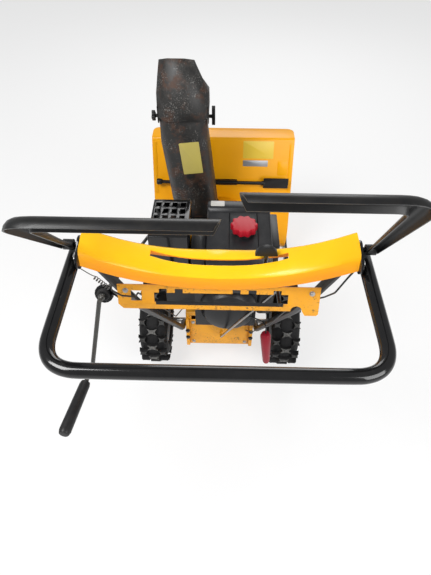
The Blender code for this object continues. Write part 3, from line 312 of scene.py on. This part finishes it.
def round_skin(node, look, levels=2):
    """A copy of a CAD tube, cord or coil with its facets subdivided away; its cut ends stay crisp."""
    piece = merged_copy(node)
    bpy.ops.object.mode_set(mode="EDIT")
    bpy.ops.mesh.select_all(action="SELECT")
    bpy.ops.mesh.tris_convert_to_quads(face_threshold=math.radians(50), shape_threshold=math.radians(60))
    bpy.ops.mesh.select_all(action="DESELECT")
    bpy.ops.mesh.select_mode(type="EDGE")
    bpy.ops.mesh.edges_select_sharp(sharpness=math.radians(76))
    bpy.ops.transform.edge_crease(value=1)
    bpy.ops.object.mode_set(mode="OBJECT")
    rounding = piece.modifiers.new("rounding", "SUBSURF")
    rounding.levels = levels
    rounding.render_levels = levels
    bpy.ops.object.modifier_apply(modifier="rounding")
    bpy.ops.object.shade_smooth_by_angle(angle=math.radians(40))
    return dressed(piece, look, node)


def dressed(piece, look, *stands_for, body=None, slot=None):
    """Give a piece its finish and its body, and let it stand for CAD nodes; the slot argument is not used."""
    piece.data.materials.clear()
    piece.data.materials.append(look)
    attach(piece, body or body_of(stands_for[0]))
    if stands_for:
        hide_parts(*stands_for)
    return piece


enamel = finish("golden_enamel", (0.93, 0.41, 0.003), (0.88, 0.37, 0.002), 0.30, dust=0.05, scratches=0.10,
                bump=0.010, gloss=0.26, dust_colour=(0.55, 0.32, 0.06), scratch_colour=(0.45, 0.22, 0.05))
black_coat = finish("black_powder_coat", (0.004, 0.004, 0.0045), (0.006, 0.006, 0.0065), 0.13, dust=0.03,
                    scratches=0.08, bump=0.0, gloss=0.5, dust_colour=(0.12, 0.11, 0.10))
moulded = finish("moulded_black", (0.006, 0.006, 0.0065), (0.010, 0.010, 0.0105), 0.42, dust=0.08,
                 scratches=0.08, bump=0.05, gloss=0.32, dust_colour=(0.11, 0.105, 0.10))
zinc = finish("zinc_steel", (0.50, 0.50, 0.49), (0.38, 0.38, 0.38), 0.34, dust=0.15, scratches=0.4,
              patches=0.2, metal=0.85, bump=0.03, patch_colour=(0.16, 0.10, 0.07))
for plate in ("housing_shell", "side_plate_left", "side_plate_right"):
    skin(plate, enamel, 0.0008)
skin("scraper_bar", zinc, 0.0006)
for side in ("left", "right"):
    skin("auger_bearing_" + side, moulded, 0.0006)
    skin("skid_shoe_" + side, black_coat, 0.0008)


def joined(pieces, name):
    """Several pieces made one object."""
    bpy.ops.object.select_all(action="DESELECT")
    for piece in pieces:
        piece.select_set(True)
    bpy.context.view_layer.objects.active = pieces[0]
    bpy.ops.object.join()
    pieces[0].name = name
    return pieces[0]


def placed(piece):
    """Put a piece's place, turn and scale into its mesh."""
    only(piece)
    bpy.ops.object.transform_apply(location=True, rotation=True, scale=True)
    return piece


def bolt(place, out, size):
    """A hex head on its washer, with a chamfered crown; size is the thread's diameter."""
    turn = Vector(out).to_track_quat("Z", "Y")
    bpy.ops.mesh.primitive_cylinder_add(vertices=24, radius=size * 1.15, depth=size * 0.2)
    washer = bpy.context.object
    washer.location = Vector(place) + Vector(out).normalized() * size * 0.1
    bpy.ops.mesh.primitive_cylinder_add(vertices=6, radius=size * 0.92, depth=size * 0.62)
    head = bpy.context.object
    bpy.ops.object.mode_set(mode="EDIT")
    bpy.ops.mesh.select_mode(type="FACE")
    bpy.ops.mesh.select_all(action="DESELECT")
    bpy.ops.object.mode_set(mode="OBJECT")
    for face in head.data.polygons:
        face.select = face.normal.z > 0.9
    bpy.ops.object.mode_set(mode="EDIT")
    bpy.ops.mesh.inset(thickness=size * 0.14, depth=size * 0.07)
    bpy.ops.object.mode_set(mode="OBJECT")
    head.location = Vector(place) + Vector(out).normalized() * size * 0.5
    for piece in (washer, head):
        piece.rotation_mode = "QUATERNION"
        piece.rotation_quaternion = turn
        placed(piece)
    return softened(joined([washer, head], "bolt"), size * 0.05, 1)


def bolts(name, rows, size, body, look=zinc, slot="steel"):
    """A set of bolts on one body; each row is a place and the way its head points."""
    return dressed(joined([bolt(place, out, size) for place, out in rows], name), look, body=body, slot=slot)


def plate_on(name, centre, across, out, size, thick, corner=0.003):
    """A thin plate with round corners that lies on a surface, its back at the centre."""
    bpy.ops.mesh.primitive_plane_add(size=1)
    piece = bpy.context.object
    piece.name = name
    piece.scale = (*size, 1)
    placed(piece)
    bpy.ops.object.mode_set(mode="EDIT")
    bpy.ops.mesh.select_all(action="SELECT")
    bpy.ops.mesh.bevel(offset=corner, segments=4, affect="VERTICES")
    bpy.ops.mesh.extrude_region_move(TRANSFORM_OT_translate={"value": (0, 0, thick)})
    bpy.ops.mesh.select_all(action="SELECT")
    bpy.ops.mesh.normals_make_consistent(inside=False)
    bpy.ops.object.mode_set(mode="OBJECT")
    out = Vector(out).normalized()
    across = (Vector(across) - out * out.dot(Vector(across))).normalized()
    up = out.cross(across)
    piece.matrix_world = Matrix((
        (across.x, up.x, out.x, centre[0]),
        (across.y, up.y, out.y, centre[1]),
        (across.z, up.z, out.z, centre[2]),
        (0, 0, 0, 1)))
    placed(piece)
    return softened(piece, thick * 0.3, 2)


def on_wall(x, z):
    """A place on the back of the leaning housing wall."""
    return x, 0.5828 + 0.3463 * (z - 0.331), z


wall_out = (0, -0.945, 0.327)
housing_slot = slot_of["housing_shell"]
for sign, side in ((-1, "left"), (1, "right")):
    flange = plate_on("wall_flange_" + side, on_wall(sign * 0.2968, 0.455), (1, 0, 0), wall_out,
                      (0.0186, 0.225), 0.0014)
    dressed(flange, enamel, body="root", slot=housing_slot)
for sign, side in ((-1, "left"), (1, "right")):
    gusset = plate_on("lip_gusset_" + side, (sign * 0.3046, 0.703, 0.5725), (0, 1, 0), (sign, 0, 0),
                      (0.050, 0.0135), 0.0016, 0.001)
    dressed(gusset, enamel, body="root", slot=housing_slot)
boss = plate_on("wall_boss", on_wall(0.262, 0.462), (1, 0, 0), wall_out, (0.044, 0.062), 0.0016, 0.005)
dressed(boss, enamel, body="root", slot=housing_slot)
bare_yellow = finish("bare_sign_yellow", (0.86, 0.60, 0.06), (0.82, 0.56, 0.05), 0.38, dust=0.06,
                     scratches=0.15)
bare_grey = finish("bare_plate_grey", (0.36, 0.36, 0.37), (0.31, 0.31, 0.32), 0.34, dust=0.06,
                   scratches=0.2, metal=0.4)
label_thickness = 0.0004
sign_plate = plate_on("wall_sign", on_wall(0.153, 0.536), (1, 0, 0), wall_out, (0.132, 0.074),
                      label_thickness)
dressed(sign_plate, bare_yellow, body="root", slot=housing_slot)
mark_plate = plate_on("wall_plate", on_wall(0.142, 0.481), (1, 0, 0), wall_out, (0.108, 0.026),
                      label_thickness, 0.002)
dressed(mark_plate, bare_grey, body="root", slot=housing_slot)

rows = []
for sign in (-1, 1):
    for turn in (90, 210, 330):
        spread = math.radians(turn)
        rows.append(((sign * 0.3098, 0.685 + 0.0225 * math.cos(spread), 0.160 + 0.0225 * math.sin(spread)),
                     (sign, 0, 0)))
    for y in (0.545, 0.637):
        rows.append(((sign * 0.3109, y, 0.054), (sign, 0, 0)))
bolts("housing_bolts", rows, 0.008, "root")

# Drum, gear case and turning works: the welded drum throws the snow up its spout.
# The ribbons are bent steel strip in black paint, and the gear case is a plain casting.
# A thin collar joins the drum to the housing where its wall curves forward below.
casting = finish("dark_casting", (0.030, 0.030, 0.031), (0.020, 0.020, 0.021), 0.5, dust=0.12,
                 scratches=0.1, bump=0.20, metal=0.3, gloss=0.4, dust_colour=(0.12, 0.11, 0.10))
skin("impeller_drum", enamel, 0.0008)
drum_height, collar_radius, collar_thickness = 0.200, 0.1373, 0.0026
wrap_place, wrap_radius = (0, 0.685, 0.160), 0.1531
wall_lean, wall_at_drum = math.atan2(0.167, 0.4953), 0.5374
straight_wall_from = 0.2062
bpy.ops.mesh.primitive_cylinder_add(vertices=96, radius=collar_radius, depth=0.16, end_fill_type="NOTHING",
                                    location=(0, 0.540, drum_height), rotation=(math.pi / 2, 0, 0))
collar = placed(bpy.context.object)
collar.name = "drum_collar"
thickness = collar.modifiers.new("thickness", "SOLIDIFY")
thickness.thickness = collar_thickness
bpy.ops.object.modifier_apply(modifier="thickness")
cutters = []
bpy.ops.mesh.primitive_cylinder_add(vertices=128, radius=wrap_radius, depth=0.7, location=wrap_place,
                                    rotation=(0, math.pi / 2, 0))
cutters.append(bpy.context.object)
block_size = 0.5
behind = (0, wall_at_drum - block_size / 2 * math.cos(wall_lean),
          drum_height + block_size / 2 * math.sin(wall_lean))
bpy.ops.mesh.primitive_cube_add(size=block_size, location=behind, rotation=(-wall_lean, 0, 0))
cutters.append(bpy.context.object)
bpy.ops.mesh.primitive_cube_add(size=block_size, location=(0, 0.540, straight_wall_from + block_size / 2))
cutters.append(bpy.context.object)
for cutter in cutters:
    only(collar)
    cut = collar.modifiers.new("cut", "BOOLEAN")
    cut.operation = "DIFFERENCE"
    cut.solver = "EXACT"
    cut.object = cutter
    bpy.ops.object.modifier_apply(modifier="cut")
    bpy.data.objects.remove(cutter)
bpy.ops.object.shade_smooth_by_angle(angle=math.radians(32))
dressed(collar, enamel, body=body_of("impeller_drum"), slot=slot_of["impeller_drum"])
for ribbon in ("auger_left", "auger_right", "impeller"):
    skin(ribbon, black_coat, 0.0006)
skin("gear_case", casting, 0.0015)
skin("auger_shaft", zinc, 0.0008)

# Chute: folded steel that turns on a toothed ring, with a tilting deflector on two wing knobs.
# Its black paint is scuffed by snow and stones, and brown rust shows through in patches.
rusty = finish("scuffed_chute_paint", (0.010, 0.010, 0.0098), (0.022, 0.021, 0.020), 0.42, dust=0.30,
               scratches=1.0, patches=0.55, bump=0.12, gloss=0.36, patch_colour=(0.095, 0.038, 0.018),
               scratch_colour=(0.26, 0.25, 0.23), dust_colour=(0.13, 0.12, 0.11))


def speckled(look, colour, low, high):
    """Scatter small specks of a colour over a finish, thick in some places and thin in others."""
    tree = look.node_tree
    where = tree.nodes.new("ShaderNodeTexCoord").outputs["Object"]
    specks = ramp(tree, noise(tree, where, 210, 3, 0.6), low, high)
    crowd = ramp(tree, noise(tree, where, 15, 4), 0.44, 0.60)
    shader = tree.nodes["Principled BSDF"]
    painted = shader.inputs["Base Color"].links[0].from_socket
    tree.links.new(blended(tree, times(tree, specks, crowd), painted, colour), shader.inputs["Base Color"])


speckled(rusty, (0.17, 0.165, 0.155), 0.57, 0.64)
skin("chute_gear", black_coat, 0.0006)
skin("chute", rusty, 0.0005, 2, 62)
skin("deflector", rusty, 0.0005, 2, 62)
for side in ("left", "right"):
    skin("deflector_knob_" + side, moulded, 0.0015, 3)
sign_yellow = finish("bare_chute_sign", (0.48, 0.40, 0.10), (0.42, 0.35, 0.09), 0.42, dust=0.15,
                     scratches=0.4, scratch_colour=(0.12, 0.10, 0.06))
chute_sign = plate_on("chute_sign", (-0.1175, 0.3643, 0.664), (0.993, 0, 0.117), (0, -1, 0.0093),
                      (0.074, 0.130), label_thickness)
dressed(chute_sign, sign_yellow, body="chute", slot=slot_of["chute"])

# Drive frame: a folded steel box under the engine, dusty from the road, with a plate behind.
# It has bolted flanges at the rear, and specks of dirt lie over its paint.
dusty_enamel = finish("dusty_enamel", (0.84, 0.36, 0.004), (0.72, 0.30, 0.006), 0.42, dust=0.45,
                      scratches=0.30, patches=0.12, bump=0.03, dust_colour=(0.44, 0.28, 0.09),
                      scratch_colour=(0.30, 0.17, 0.06))
speckled(dusty_enamel, (0.10, 0.060, 0.022), 0.57, 0.66)
skin("frame_box", dusty_enamel, 0.0010)
skin("frame_cover", dusty_enamel, 0.0006)
for sign, side in ((-1, "left"), (1, "right")):
    flange = plate_on("frame_flange_" + side, (sign * 0.1185, -0.0746, 0.190), (1, 0, 0), (0, -1, 0),
                      (0.013, 0.150), 0.012)
    dressed(flange, dusty_enamel, body="root", slot=slot_of["frame_box"])
rows = [((sign * 0.1185, -0.0866, z), (0, -1, 0)) for sign in (-1, 1) for z in (0.168, 0.206)]
bolts("flange_bolts", rows, 0.0075, "root", black_coat)
rows = [((sign * 0.098, -0.0748, z), (0, -1, 0)) for sign in (-1, 1) for z in (0.130, 0.242)]
bolts("frame_bolts", rows, 0.006, "root")

# Wheels: black pressed rims on a steel axle, with rubber tyres of crossing lugs.
# The lug tops are scuffed grey where they run on the road.
rubber = finish("tyre_rubber", (0.0045, 0.0045, 0.005), (0.008, 0.008, 0.0085), 0.66, gloss=0.22,
                dust=0.10, scratches=0.0, bump=0.12, dust_colour=(0.11, 0.105, 0.10))
tree = rubber.node_tree
where = tree.nodes.new("ShaderNodeTexCoord").outputs["Object"]
offset = tree.nodes.new("ShaderNodeVectorMath")
offset.operation = "SUBTRACT"
offset.inputs[1].default_value = (0, 0, 0.165)
tree.links.new(where, offset.inputs[0])
flat = tree.nodes.new("ShaderNodeVectorMath")
flat.operation = "MULTIPLY"
flat.inputs[1].default_value = (0, 1, 1)
tree.links.new(offset.outputs[0], flat.inputs[0])
reach = tree.nodes.new("ShaderNodeVectorMath")
reach.operation = "LENGTH"
tree.links.new(flat.outputs[0], reach.inputs[0])
crown = ramp(tree, reach.outputs["Value"], 0.1600, 0.1646)
scuffed = times(tree, crown, ramp(tree, noise(tree, where, 160, 4, 0.6), 0.30, 0.62))
shader = tree.nodes["Principled BSDF"]
plain = shader.inputs["Base Color"].links[0].from_socket
tree.links.new(blended(tree, scuffed, plain, (0.150, 0.147, 0.140)), shader.inputs["Base Color"])
skin("axle", zinc, 0.0010)
for side in ("left", "right"):
    skin("rim_" + side, black_coat, 0.0010)


def cross_lug(half_width, half_length):
    """A waisted, cross-shaped lug on top of the wheel, sunk a little into the carcass."""
    bpy.ops.mesh.primitive_grid_add(x_subdivisions=3, y_subdivisions=3, size=2)
    lug = bpy.context.object
    bpy.ops.object.mode_set(mode="EDIT")
    bpy.ops.mesh.select_mode(type="VERT")
    for axis in (0, 1):
        bpy.ops.mesh.select_all(action="DESELECT")
        bpy.ops.object.mode_set(mode="OBJECT")
        for point in lug.data.vertices:
            point.select = abs(point.co[axis]) > 0.9 and abs(point.co[1 - axis]) < 0.5
        bpy.ops.object.mode_set(mode="EDIT")
        bpy.ops.transform.resize(value=(0.62 if axis == 0 else 1, 0.58 if axis == 1 else 1, 1))
    bpy.ops.mesh.select_all(action="SELECT")
    bpy.ops.transform.resize(value=(half_width, half_length, 1))
    bpy.ops.mesh.extrude_region_move(TRANSFORM_OT_translate={"value": (0, 0, 0.020)})
    bpy.ops.transform.resize(value=(0.86, 0.86, 1))
    bpy.ops.mesh.select_all(action="SELECT")
    bpy.ops.mesh.normals_make_consistent(inside=False)
    bpy.ops.object.mode_set(mode="OBJECT")
    lug.location = (0, 0, 0.1446)
    placed(lug)
    return softened(lug, 0.0012, 2, 30)


def copied(piece):
    """A copy of a piece with its own mesh."""
    twin = piece.copy()
    twin.data = piece.data.copy()
    bpy.context.scene.collection.objects.link(twin)
    return twin


middle_lug = cross_lug(0.0225, 0.0145)
side_lug = cross_lug(0.0165, 0.0145)
bpy.ops.mesh.primitive_torus_add(major_segments=96, minor_segments=40, major_radius=0.1160,
                                 minor_radius=0.0368)
carcass = bpy.context.object
carcass.rotation_euler = (0, math.pi / 2, 0)
placed(carcass)
carcass.scale = (1.40, 1, 1)
placed(carcass)
bpy.ops.object.shade_smooth_by_angle(angle=math.radians(40))
ribs = []
for x, radius in ((-0.0468, 0.100), (0.0468, 0.100), (-0.0500, 0.122), (0.0500, 0.122)):
    bpy.ops.mesh.primitive_torus_add(major_segments=96, minor_segments=8, major_radius=radius,
                                     minor_radius=0.0014)
    rib = bpy.context.object
    rib.rotation_euler = (0, math.pi / 2, 0)
    rib.location = (x, 0, 0)
    placed(rib)
    bpy.ops.object.shade_smooth_by_angle(angle=math.radians(60))
    ribs.append(rib)
lugs = []
pitches = 15
for i in range(pitches):
    for lug, x, share in ((middle_lug, 0, 0.625), (side_lug, -0.0355, 0.125), (side_lug, 0.0355, 0.125)):
        block = copied(lug)
        block.location = (x, 0, 0)
        block.rotation_euler = (-2 * math.pi * (i + share) / pitches, 0, 0)
        if x:
            block.scale = (1, 1, 0.982)
        lugs.append(placed(block))
for spare in (middle_lug, side_lug):
    bpy.data.objects.remove(spare)
tyre = joined([carcass, *ribs, *lugs], "tyre_left_tread")
other_tyre = copied(tyre)
other_tyre.name = "tyre_right_tread"
for piece, x, node in ((tyre, -0.245, "tyre_left"), (other_tyre, 0.245, "tyre_right")):
    piece.location = (x, 0, 0.165)
    dressed(placed(piece), rubber, node)

# Engine: cast block under moulded black covers, with a scalloped red cap on the filler neck.
# The muffler sits on the left behind a punched steel guard, and the pull starter at the back.
cover_plastic = finish("engine_cover_black", (0.008, 0.008, 0.009), (0.012, 0.012, 0.0135), 0.36,
                       gloss=0.36, dust=0.10, scratches=0.12, bump=0.04, dust_colour=(0.10, 0.098, 0.095))
faded_red = finish("faded_red", (0.37, 0.005, 0.016), (0.31, 0.004, 0.012), 0.36, dust=0.02,
                   scratches=0.10, bump=0.03, gloss=0.24, dust_colour=(0.42, 0.14, 0.14),
                   scratch_colour=(0.55, 0.12, 0.13))
skin("engine_block", casting, 0.0012)
skin("engine_shroud", cover_plastic, 0.0015, 3)
bare_white = finish("bare_label_white", (0.46, 0.45, 0.42), (0.40, 0.39, 0.36), 0.4, dust=0.2, scratches=0.2)
shroud_label = plate_on("shroud_label", (-0.012, 0.038, 0.7000), (1, 0, 0), (0, 0, 1), (0.044, 0.028),
                        label_thickness)
dressed(shroud_label, bare_white, body="root", slot=slot_of["engine_shroud"])
cowl = plate_on("cylinder_cowl", (-0.0715, -0.018, 0.497), (1, 0, 0), (0, 0, 1), (0.050, 0.180), 0.118, 0.006)
dressed(cowl, cover_plastic, body="root", slot=slot_of["engine_shroud"])
skin("recoil_cover", cover_plastic, 0.0012)
skin("carburettor_cover", cover_plastic, 0.0012)
skin("muffler_guard", black_coat, 0.0006)
skin("muffler", rusty, 0.0015)
skin("fuel_cap", faded_red, 0.0030, 4, 40)
skin("engine_pulley", casting, 0.0005)
skin("impeller_pulley", casting, 0.0005)
belt_rubber = finish("belt_rubber", (0.008, 0.008, 0.008), (0.012, 0.012, 0.012), 0.65, dust=0.1,
                     scratches=0.05, bump=0.1, gloss=0.3)
skin("auger_belt", belt_rubber, 0.0005)
skin("belt_cover", moulded, 0.0010)

# Handlebar: bent steel tube in gloss black, bolted to pivot plates on the lower tubes.
# Two half-pipe bails are the clutch levers.
lever_coat = finish("satin_lever_coat", (0.005, 0.005, 0.0055), (0.008, 0.008, 0.0085), 0.36, dust=0.03,
                    scratches=0.20, bump=0.0, gloss=0.34, scratch_colour=(0.12, 0.12, 0.12))
for side in ("left", "right"):
    skin("lower_handle_" + side, moulded, 0.0005)
    skin("pivot_plate_" + side, black_coat, 0.0006)
    skin("lever_" + side, lever_coat, 0.0004)
round_skin("handle_loop", black_coat)
rows = [((sign * 0.2523, -0.604, 1.046), (sign, 0, 0)) for sign in (-1, 1)]
bolts("pivot_bolts", rows, 0.006, "root")

# Dash and gate: a moulded yellow saddle over a folded steel panel with the gear gate.
# The shift lever comes up through both and carries a black half-round knob.
saddle = finish("yellow_plastic", (0.95, 0.54, 0.010), (0.93, 0.50, 0.007), 0.26, dust=0.04, scratches=0.12,
                bump=0.015, coat=0.06, gloss=0.26, dust_colour=(0.70, 0.46, 0.12),
                scratch_colour=(0.70, 0.36, 0.04))
# Painted shade: faces turned sideways or down are painted a darker orange, and only faces turned up keep the
# worn yellow tone. The orange stands in for the shade on the saddle's skirts and ends.
tree = saddle.node_tree
slope = tree.nodes.new("ShaderNodeSeparateXYZ")
tree.links.new(tree.nodes.new("ShaderNodeNewGeometry").outputs["Normal"], slope.inputs[0])
shader = tree.nodes["Principled BSDF"]
worn_yellow_tone = shader.inputs["Base Color"].links[0].from_socket
tree.links.new(blended(tree, ramp(tree, slope.outputs["Z"], 0.05, 0.75), (0.88, 0.31, 0.002), worn_yellow_tone),
               shader.inputs["Base Color"])
skin("dash_panel", saddle, 0.0008)
panel = skin("shift_panel", dusty_enamel, 0.0005)
panel.data.materials.append(black_coat)
black_beyond = -0.2046
for face in panel.data.polygons:
    face.material_index = 1 if face.center.x < black_beyond else 0
panel_out = (0, -0.951, 0.309)
gate_strip = plate_on("gate_strip", (0.002, -0.5759, 0.9012), (1, 0, 0), panel_out, (0.258, 0.0085), 0.0005,
                      0.001)
dressed(gate_strip, moulded, body="root", slot=slot_of["shift_panel"])
rows = [((sign * 0.187, -0.5675, 0.9270), panel_out) for sign in (-1, 1)]
bolts("panel_bolts", rows, 0.005, "root")
skin("shift_lever", black_coat, 0.0004)
skin("shift_knob", moulded, 0.0012, 3)

# Chute crank: a steel rod from a rubber grommet to the worm at the ring, with a hanging handle.
# Its grip is a tapered black sleeve with a closed end.
grommet = finish("grommet_rubber", (0.006, 0.006, 0.0065), (0.010, 0.010, 0.0105), 0.60, dust=0.08,
                 scratches=0.0, bump=0.06, gloss=0.3)
dark_steel = finish("oiled_steel", (0.105, 0.105, 0.10), (0.070, 0.070, 0.066), 0.34, dust=0.15,
                    scratches=0.3, patches=0.2, metal=0.7, bump=0.03, patch_colour=(0.06, 0.04, 0.03))
skin("crank_rod", dark_steel, 0.0004)
skin("crank_handle", dark_steel, 0.0004)
skin("crank_grip", moulded, 0.0012, 3)
skin("crank_eyelet", grommet, 0.0010)
skin("crank_bracket", black_coat, 0.0005)

# Cables and starter: black sheathed clutch cables, one on a spring, and the red pull grip.
# The rope follows the grip when it is pulled; here it is a fixed mesh along its route, attached to neither
# body.
round_skin("cable_spring", dark_steel)


def rounded(points, radius, steps=8):
    """A line through points with its inner corners rounded, as part.py rounds its cables."""
    points = [Vector(point) for point in points]
    line = [points[0]]
    for before, corner, after in zip(points, points[1:], points[2:]):
        back, on = before - corner, after - corner
        reach = min(radius / math.tan(back.angle(on) / 2), back.length * 0.49, on.length * 0.49)
        start, end = corner + back.normalized() * reach, corner + on.normalized() * reach
        for i in range(steps + 1):
            share = i / steps
            line.append(start.lerp(corner, share).lerp(corner.lerp(end, share), share))
    return line + [points[-1]]


def cable(node, line, radius):
    """A round cable along a line of points, as a curve."""
    curve = bpy.data.curves.new(node + "_line", "CURVE")
    curve.dimensions = "3D"
    curve.bevel_depth = radius
    curve.bevel_resolution = 3
    curve.use_fill_caps = True
    spline = curve.splines.new("POLY")
    spline.points.add(len(line) - 1)
    for point, place in zip(spline.points, line):
        point.co = (*place, 1)
    piece = bpy.data.objects.new(node + "_line", curve)
    bpy.context.scene.collection.objects.link(piece)
    return piece


cable_radius, cable_bend = 0.0018, 0.03
spring_top, spring_low = Vector((-0.2250, -0.6170, 1.0120)), Vector((-0.2030, -0.6100, 0.9750))
left_route = [spring_low + (spring_low - spring_top).normalized() * 0.0084, (-0.186, -0.602, 0.948),
              (-0.166, -0.578, 0.920), (-0.166, -0.553, 0.905), (-0.160, -0.40, 0.70),
              (-0.150, -0.15, 0.36), (-0.1276, 0.0, 0.258)]
right_route = [(0.2450, -0.6010, 1.026), (0.236, -0.6030, 1.010), (0.222, -0.595, 0.960),
               (0.2145, -0.560, 0.910), (0.172, -0.48, 0.80), (0.146, -0.335, 0.548),
               (0.112, -0.225, 0.380), (0.1000, -0.0768, 0.200)]
for node, route in (("clutch_cable_left", left_route), ("clutch_cable_right", right_route)):
    line = rounded(route, cable_bend)
    piece = dressed(cable(node, line, cable_radius), moulded, node)

rope_radius, rope_bend = 0.0022, 0.010
rope_route = [(0.090, -0.1760, 0.405), (0.140, -0.225, 0.432), (0.150, -0.249, 0.434),
              (0.150, -0.250, 0.4034)]
line = rounded(rope_route, rope_bend)
rope = cable("starter_rope", line, rope_radius)
only(rope)
bpy.ops.object.convert(target="MESH")
rope.data.materials.append(moulded)
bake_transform(rope)
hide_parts("starter_rope")
grip_red = finish("grip_red", (0.26, 0.006, 0.018), (0.21, 0.005, 0.014), 0.40, dust=0.02, scratches=0.15,
                  bump=0.04, gloss=0.22, dust_colour=(0.25, 0.08, 0.08), scratch_colour=(0.36, 0.06, 0.07))
skin("starter_grip", grip_red, 0.0010)

# Clean-out tool: a small black shovel that frees a blocked chute.
# It sits in a clip on the back of the housing and pulls straight out of it.
skin("clean_out_tool", moulded, 0.0010)
skin("tool_clip", moulded, 0.0008)
